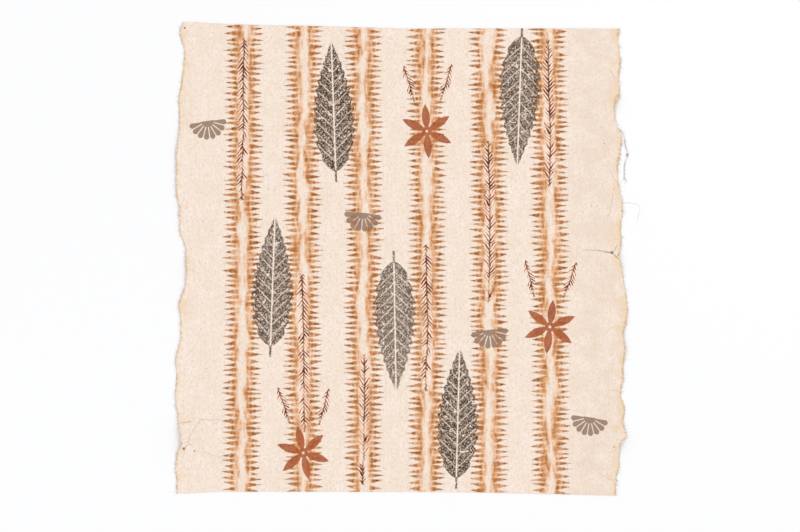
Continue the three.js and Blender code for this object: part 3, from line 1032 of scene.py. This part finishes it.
def stencil_flowers(tree, under):
    """Six pointed petals around a small bare eye."""
    across, along, _ = read(tree, "flower")
    angle = add(tree, "ShaderNodeMath", {0: across, 1: along}, operation="ARCTAN2")
    off_petal = add(tree, "ShaderNodeMath", {0: angle, 1: np.pi / PETALS}, operation="PINGPONG")
    reach = from_middle(tree, across, along)
    cos = add(tree, "ShaderNodeMath", {0: off_petal}, operation="COSINE")
    sin = add(tree, "ShaderNodeMath", {0: off_petal}, operation="SINE")
    petal_along = add(tree, "ShaderNodeMath", {0: reach, 1: cos}, operation="MULTIPLY")
    petal_across = add(tree, "ShaderNodeMath", {0: reach, 1: sin}, operation="MULTIPLY")
    half = leaf_half(tree, petal_along, PETAL_START, FLOWER_REACH - 1, 1.0, 4 * PETAL_HALF)
    room = add(tree, "ShaderNodeMath", {0: half, 1: petal_across}, operation="SUBTRACT")
    petal = uneven_ramp(tree, room, grain, 0.7, 0.2, 0.8)
    amount = add(tree, "ShaderNodeMath", {0: petal, 1: ramp(tree, reach, 7.0, 6.2)},
                 operation="MAXIMUM")
    amount = ramp(tree, reach, *EYE, 0.0, 0.94, times=amount)
    rubbed_thin = add(tree, "ShaderNodeMath", {0: cloud, 1: mottle}, operation="ADD")
    rust = lay_over(tree, RUST, [(ramp(tree, rubbed_thin, 0.8, 1.25), RUST_DEEP)])
    return lay_over(tree, under, [(amount, rust)])


printed = stencil_flowers(tree, printed)
print("nodes so far:", len(tree.nodes))

# %% [markdown]
# ## Fans in grey
#
# The fans are stencilled as well, in a thin clay grey. It hides most of what is under it, and
# the rest shows through darkened, so the teeth of a band can still be made out.

# %% Stencil the fans
GREY = paint("#a58f80")
GREY_BODY = 0.6  # how far the grey hides what is under it
SLIT_ANGLE, SLIT_START = np.pi / 8, 8.0


def stencil_fans(tree, under):
    """A half-round fan of eight ribs, with bare slits between them."""
    across, along, _ = read(tree, "fan")
    down = add(tree, "ShaderNodeMath", {0: along, 1: -1.0}, operation="MULTIPLY")
    angle = add(tree, "ShaderNodeMath", {0: across, 1: down}, operation="ARCTAN2")
    off_slit = add(tree, "ShaderNodeMath", {0: angle, 1: SLIT_ANGLE / 2}, operation="PINGPONG")
    reach = from_middle(tree, across, along)
    slit_gap = add(tree, "ShaderNodeMath", {0: off_slit, 1: reach}, operation="MULTIPLY")
    solid_heart = ramp(tree, reach, SLIT_START + 1, SLIT_START)
    slit = add(tree, "ShaderNodeMath", {0: ramp(tree, slit_gap, 0.35, 0.95), 1: solid_heart},
               operation="MAXIMUM")
    edge = ramp(tree, slit_gap, 0.0, 4.0, FAN_REACH - 3.2, FAN_REACH - 0.6)
    room = add(tree, "ShaderNodeMath", {0: edge, 1: reach}, operation="SUBTRACT")
    amount = ramp(tree, room, -0.3, 0.4, times=slit)
    amount = ramp(tree, along, 0.3, -0.3, times=amount)
    glazed = add(tree, "ShaderNodeMix", {0: 1.0, 6: under, 7: GREY}, out=2, data_type="RGBA",
                 blend_type="MULTIPLY")
    return lay_over(tree, under, [(amount, lay_over(tree, glazed, [(GREY_BODY, GREY)]))])


printed = stencil_fans(tree, printed)
print("nodes so far:", len(tree.nodes))

# %% [markdown]
# ## Specks, painted crease shade, and the finish
#
# Last come specks of dark bark caught in the felt and the brown lines of painted shade in the
# creases. Then everything meets in one matt shader. The bump joins the matted fibres, the
# clouds and the lengthwise grooves of the beater.

# %% Finish the bark
SPECK_BROWN, CREASE_SHADE_BROWN = paint("#5b3b26"), paint("#9c7a58")
GROOVES, CLOUDS = 1.4, 1.6  # how high these stand beside the fibres
BUMP_DEPTH, BUMP_STRENGTH = 0.35, 0.6


def mark_specks_and_crease_shade(tree, under):
    """Dark specks, and brown lines of painted shade in the creases."""
    across, along, darkness = read(tree, "speck")
    speck = uneven_ramp(tree, from_middle(tree, across, along), grain, 0.8, 1.5, 0.9)
    speck = add(tree, "ShaderNodeMath", {0: speck, 1: darkness}, operation="MULTIPLY")
    across, _, darkness = read(tree, "crease")
    reach = add(tree, "ShaderNodeMath", {0: across}, operation="ABSOLUTE")
    # Painted shade: brown lines along the creases.
    line = uneven_ramp(tree, reach, mottle, 0.8, 1.1, 0.45)
    line = add(tree, "ShaderNodeMath", {0: line, 1: darkness}, operation="MULTIPLY")
    return lay_over(tree, under, [(speck, SPECK_BROWN), (line, CREASE_SHADE_BROWN)])


printed = mark_specks_and_crease_shade(tree, printed)
height = add(tree, "ShaderNodeMath", {0: streak, 1: GROOVES, 2: grain}, operation="MULTIPLY_ADD")
height = add(tree, "ShaderNodeMath", {0: cloud, 1: CLOUDS, 2: height}, operation="MULTIPLY_ADD")
bump = add(tree, "ShaderNodeBump", {
    "Strength": BUMP_STRENGTH, "Distance": BUMP_DEPTH * MM, "Height": height})
cloth_shader = add(tree, "ShaderNodeBsdfPrincipled", {
    "Base Color": printed, "Roughness": ROUGHNESS, "Specular IOR Level": SPECULAR, "Normal": bump})
add(tree, "ShaderNodeOutputMaterial", {"Surface": cloth_shader})
print("the bark's material has", len(tree.nodes), "nodes")

# %% [markdown]
# ## The sheet as a piece
#
# The finished mesh and its material meet in one object at the origin, unturned and unscaled.

# %% Make the sheet a piece
sheet_mesh.materials.append(bark)
bark_sheet = bpy.data.objects.new("bark_sheet", sheet_mesh)
bpy.context.collection.objects.link(bark_sheet)

# %% [markdown]
# ## Fibres at the rims
#
# A torn rim is fringed with single fibres, a few millimetres long. Hundreds of them follow the
# rim, which is work for Geometry Nodes: curves along the sides are cut into points, one short
# bent fibre is placed on each, and turn and size come from seeded chance. A real bast fibre is
# about 0.02 mm across. These are 0.1 to 0.4 mm at the root, or the picture would lose them.

# %% Helpers for every tree
def group_tree(name, inputs):
    """A Geometry Nodes tree with its named inputs and their values, and its two ends."""
    tree = bpy.data.node_groups.new(name, "GeometryNodeTree")
    tree.interface.new_socket("Geometry", in_out="INPUT", socket_type="NodeSocketGeometry")
    for title, (kind, value) in inputs.items():
        socket = tree.interface.new_socket(title, in_out="INPUT", socket_type=kind)
        if value is not None:
            socket.default_value = value
    tree.interface.new_socket("Geometry", in_out="OUTPUT", socket_type="NodeSocketGeometry")
    return tree, tree.nodes.new("NodeGroupInput").outputs


def finish_tree(tree, mesh, material):
    """Ends a tree: instances made real, and the material set."""
    real = add(tree, "GeometryNodeRealizeInstances", {"Geometry": mesh})
    coated = add(tree, "GeometryNodeSetMaterial", {"Geometry": real, "Material": material})
    add(tree, "NodeGroupOutput", {0: coated})


def apply_tree(thing, tree, values):
    """Runs a tree on an object and returns the result as a plain mesh; the modifier is removed."""
    modifier = thing.modifiers.new(tree.name, "NODES")
    modifier.node_group = tree
    for item in tree.interface.items_tree:
        if item.in_out == "INPUT" and item.name in values:
            modifier[item.identifier] = values[item.name]
    view_layer = bpy.context.evaluated_depsgraph_get()
    mesh = bpy.data.meshes.new_from_object(thing.evaluated_get(view_layer))
    thing.modifiers.remove(modifier)
    return mesh


def curve_object(name, kind, routes):
    """A curve of one spline for each route: rows of (right, up, height, radius) in millimetres."""
    data = bpy.data.curves.new(name, "CURVE")
    data.dimensions = "3D"
    for route in routes:
        spline = data.splines.new(kind)
        stops = spline.bezier_points if kind == "BEZIER" else spline.points
        stops.add(len(route) - 1)
        for stop, (right, up, height, radius) in zip(stops, route):
            place = (right * MM, up * MM, height * MM)
            stop.co = place if kind == "BEZIER" else (*place, 1)
            stop.radius = radius * MM
            if kind == "BEZIER":
                stop.handle_left_type = stop.handle_right_type = "AUTO"
    thing = bpy.data.objects.new(name, data)
    bpy.context.collection.objects.link(thing)
    return thing


def as_piece(name, thing, tree, values):
    """The mesh that a tree makes of a helper curve, as an object of its own; the helper goes."""
    mesh = apply_tree(thing, tree, values)
    bpy.data.objects.remove(thing)
    piece = bpy.data.objects.new(name, mesh)
    bpy.context.collection.objects.link(piece)
    print(name, "has", sum(len(p.vertices) - 2 for p in mesh.polygons), "triangles")
    return piece


print("triangles so far:", 2 * len(faces))

# %% The tree that frays a rim
FIBRE_BEND = {"Start": (-0.25, 0, 0), "Middle": (0.45, 0.3, 0.04), "End": (1, 0.05, -0.02)}
FIBRE_STEPS, FIBRE_SIDES, FIBRE_TIP = 5, 3, 0.2
TURN_LEAST, TURN_MOST = (-0.1, -0.12, -1.35), (0.1, 0.06, 1.35)

fray, ins = group_tree("rim_fray", {
    "Spacing": ("NodeSocketFloat", 1.7 * MM), "Root Radius": ("NodeSocketFloat", 0.24 * MM),
    "Shortest": ("NodeSocketFloat", 1.5 * MM), "Longest": ("NodeSocketFloat", 5.5 * MM),
    "Seed": ("NodeSocketInt", 1), "Bast": ("NodeSocketMaterial", None)})
stops = add(fray, "GeometryNodeCurveToPoints", {
    "Curve": ins["Geometry"], "Length": ins["Spacing"]}, mode="LENGTH")
grown = add(fray, "FunctionNodeRandomValue", {
    2: ins["Shortest"], 3: ins["Longest"], "Seed": ins["Seed"]}, out=1, data_type="FLOAT")
bent = add(fray, "GeometryNodeCurveQuadraticBezier", {"Resolution": FIBRE_STEPS, **FIBRE_BEND})
along_fibre = add(fray, "GeometryNodeSplineParameter")
taper = add(fray, "ShaderNodeMapRange", {"Value": along_fibre, "To Min": 1.0, "To Max": FIBRE_TIP})
thin = add(fray, "ShaderNodeMath", {0: ins["Root Radius"], 1: ins["Longest"]}, operation="DIVIDE")
scale = add(fray, "ShaderNodeMath", {0: taper, 1: thin}, operation="MULTIPLY")
ring = add(fray, "GeometryNodeCurvePrimitiveCircle", {"Resolution": FIBRE_SIDES, "Radius": 1.0})
hair = add(fray, "GeometryNodeCurveToMesh", {
    "Curve": bent, "Profile Curve": ring, "Scale": scale, "Fill Caps": True})
outward = add(fray, "FunctionNodeAlignRotationToVector", {"Vector": stops.node.outputs["Tangent"]},
              axis="Y", pivot_axis="Z")
turn = add(fray, "FunctionNodeRandomValue", {
    0: TURN_LEAST, 1: TURN_MOST, "Seed": ins["Seed"]}, data_type="FLOAT_VECTOR")
turned = add(fray, "FunctionNodeRotateRotation", {"Rotation": outward, "Rotate By": turn},
             rotation_space="LOCAL")
placed = add(fray, "GeometryNodeInstanceOnPoints", {
    "Points": stops, "Instance": hair, "Rotation": turned, "Scale": grown})
finish_tree(fray, placed, ins["Bast"])
print("the tree", fray.name, "has", len(fray.nodes), "nodes")

# %% [markdown]
# ## Loose bast
#
# Fibres that stand off the sheet were never dyed or pressed. They are paler and greyer than the
# felt, with a slight silky gloss, because each is a smooth strand and not a mat of many. The
# knot of the long strand is darker.

# %% Mix the loose bast
KNOT = (296.6, 140.4, 0.8)
BAST_PALE, BAST_GREY, KNOT_BROWN = paint("#f1eae4"), paint("#c9bcb1"), paint("#957f6e")

loose_bast, tree = new_material("loose_bast_fibre")
table_place = add(tree, "ShaderNodeTexCoord", out="Object")
place_mm = add(tree, "ShaderNodeVectorMath", {0: table_place, "Scale": 1 / MM}, operation="SCALE")
shade = add(tree, "ShaderNodeTexNoise", {"Vector": place_mm, "Scale": 1 / 7.0, "Detail": 2.0})
from_knot = add(tree, "ShaderNodeVectorMath", {0: place_mm, 1: KNOT}, out="Value",
                operation="DISTANCE")
# Darker within a few millimetres of the knot.
bast_colour = lay_over(tree, BAST_PALE, [
    (ramp(tree, shade, 0.35, 0.65), BAST_GREY),
    (ramp(tree, from_knot, 2.4, 1.0, 0.0, 0.8), KNOT_BROWN)])
bast_shader = add(tree, "ShaderNodeBsdfPrincipled", {
    "Base Color": bast_colour, "Roughness": 0.8, "Specular IOR Level": 0.3})
add(tree, "ShaderNodeOutputMaterial", {"Surface": bast_shader})
print("the loose bast's material has", len(tree.nodes), "nodes")

# %% Fray the sides
rim_height = (under + over) / 2
sides = [
    np.stack([grid_right[::way, column], grid_up[::way, column], rim_height[::way, column],
              np.ones(lines)], axis=-1)
    for column, way in ((0, -1), (-1, 1))
]
rims = curve_object("rims", "POLY", sides)
rim_fibres = as_piece("rim_fibres", rims, fray, {"Bast": loose_bast})

# %% [markdown]
# ## Loose strands
#
# One flat strand of bast has come away from the right side, with a knot halfway and a split end,
# and a finer fibre curls out below it. Each is a curve through given points, and a tree
# sweeps one flat, slightly twisting ribbon along all of them.

# %% Lay the loose strands
STRANDS = [  # rows of right, up, height and half width
    [(285, 175, 0.7, 0.9), (289, 171, 0.7, 0.85), (292.3, 165, 0.6, 0.8), (294.2, 152, 0.5, 0.7),
     (297, 140, 0.6, 0.75), (293.6, 129, 0.5, 0.7), (292.4, 114, 0.5, 0.75), (293, 106, 0.4, 0.35)],
    [(296.5, 142.4, 0.7, 0.3), (297.7, 140, 1.0, 0.55), (295.9, 138.4, 1.1, 0.6),
     (295.7, 140.6, 0.9, 0.5), (297.3, 141.3, 0.6, 0.3)],
    [(292.4, 114, 0.5, 0.45), (291.3, 107.6, 0.4, 0.35), (287.8, 102.6, 0.4, 0.15)],
    [(292.6, 112, 0.5, 0.4), (293.6, 105, 0.4, 0.3), (292.6, 99.5, 0.4, 0.12)],
    [(292.8, 110, 0.5, 0.35), (295.4, 105.6, 0.4, 0.25), (296.0, 101.5, 0.4, 0.1)],
    [(286, 75.6, 0.6, 0.3), (291, 75.2, 0.6, 0.28), (300, 75.2, 0.5, 0.24), (309, 73.4, 0.4, 0.22),
     (313.4, 68.5, 0.4, 0.2), (311.7, 59, 0.4, 0.18), (309, 47, 0.3, 0.1)],
]
TWISTS = 0.22  # radians of swing for each millimetre

ribbon, ins = group_tree("bast_ribbon", {
    "Step": ("NodeSocketFloat", 1.0 * MM), "Flatness": ("NodeSocketFloat", 0.45),
    "Twist": ("NodeSocketFloat", 0.5), "Bast": ("NodeSocketMaterial", None)})
even = add(ribbon, "GeometryNodeResampleCurve", {
    "Curve": ins["Geometry"], "Length": ins["Step"]}, mode="LENGTH")
upright = add(ribbon, "GeometryNodeSetCurveNormal", {"Curve": even}, mode="Z_UP")
run = add(ribbon, "GeometryNodeSplineParameter", out="Length")
turns = add(ribbon, "ShaderNodeMath", {0: run, 1: TWISTS / MM}, operation="MULTIPLY")
swing = add(ribbon, "ShaderNodeMath", {0: turns}, operation="SINE")
tilt = add(ribbon, "ShaderNodeMath", {0: swing, 1: ins["Twist"]}, operation="MULTIPLY")
twisted = add(ribbon, "GeometryNodeSetCurveTilt", {"Curve": upright, "Tilt": tilt})
circle = add(ribbon, "GeometryNodeCurvePrimitiveCircle", {"Resolution": 8, "Radius": 1.0})
flat_size = add(ribbon, "ShaderNodeCombineXYZ", {"X": 1.0, "Y": ins["Flatness"], "Z": 1.0})
section = add(ribbon, "GeometryNodeTransform", {"Geometry": circle, "Scale": flat_size})
own_radius = add(ribbon, "GeometryNodeInputRadius")
swept = add(ribbon, "GeometryNodeCurveToMesh", {
    "Curve": twisted, "Profile Curve": section, "Scale": own_radius, "Fill Caps": True})
finish_tree(ribbon, swept, ins["Bast"])
strands = curve_object("strands", "BEZIER", STRANDS)
loose_strands = as_piece("loose_strands", strands, ribbon, {"Bast": loose_bast})
loose_strands.data.polygons.foreach_set("use_smooth", [True] * len(loose_strands.data.polygons))

# %% [markdown]
# ## Attach the pieces
#
# Every piece rides on the part's one body. The sheet stands in for the imported solid, which is
# hidden, and the fibres and strands go with it.

for piece in (bark_sheet, rim_fibres, loose_strands):
    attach(piece, "root")
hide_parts(SHEET_NODE)
print(bark_sheet.name, "stands for", SHEET_NODE)
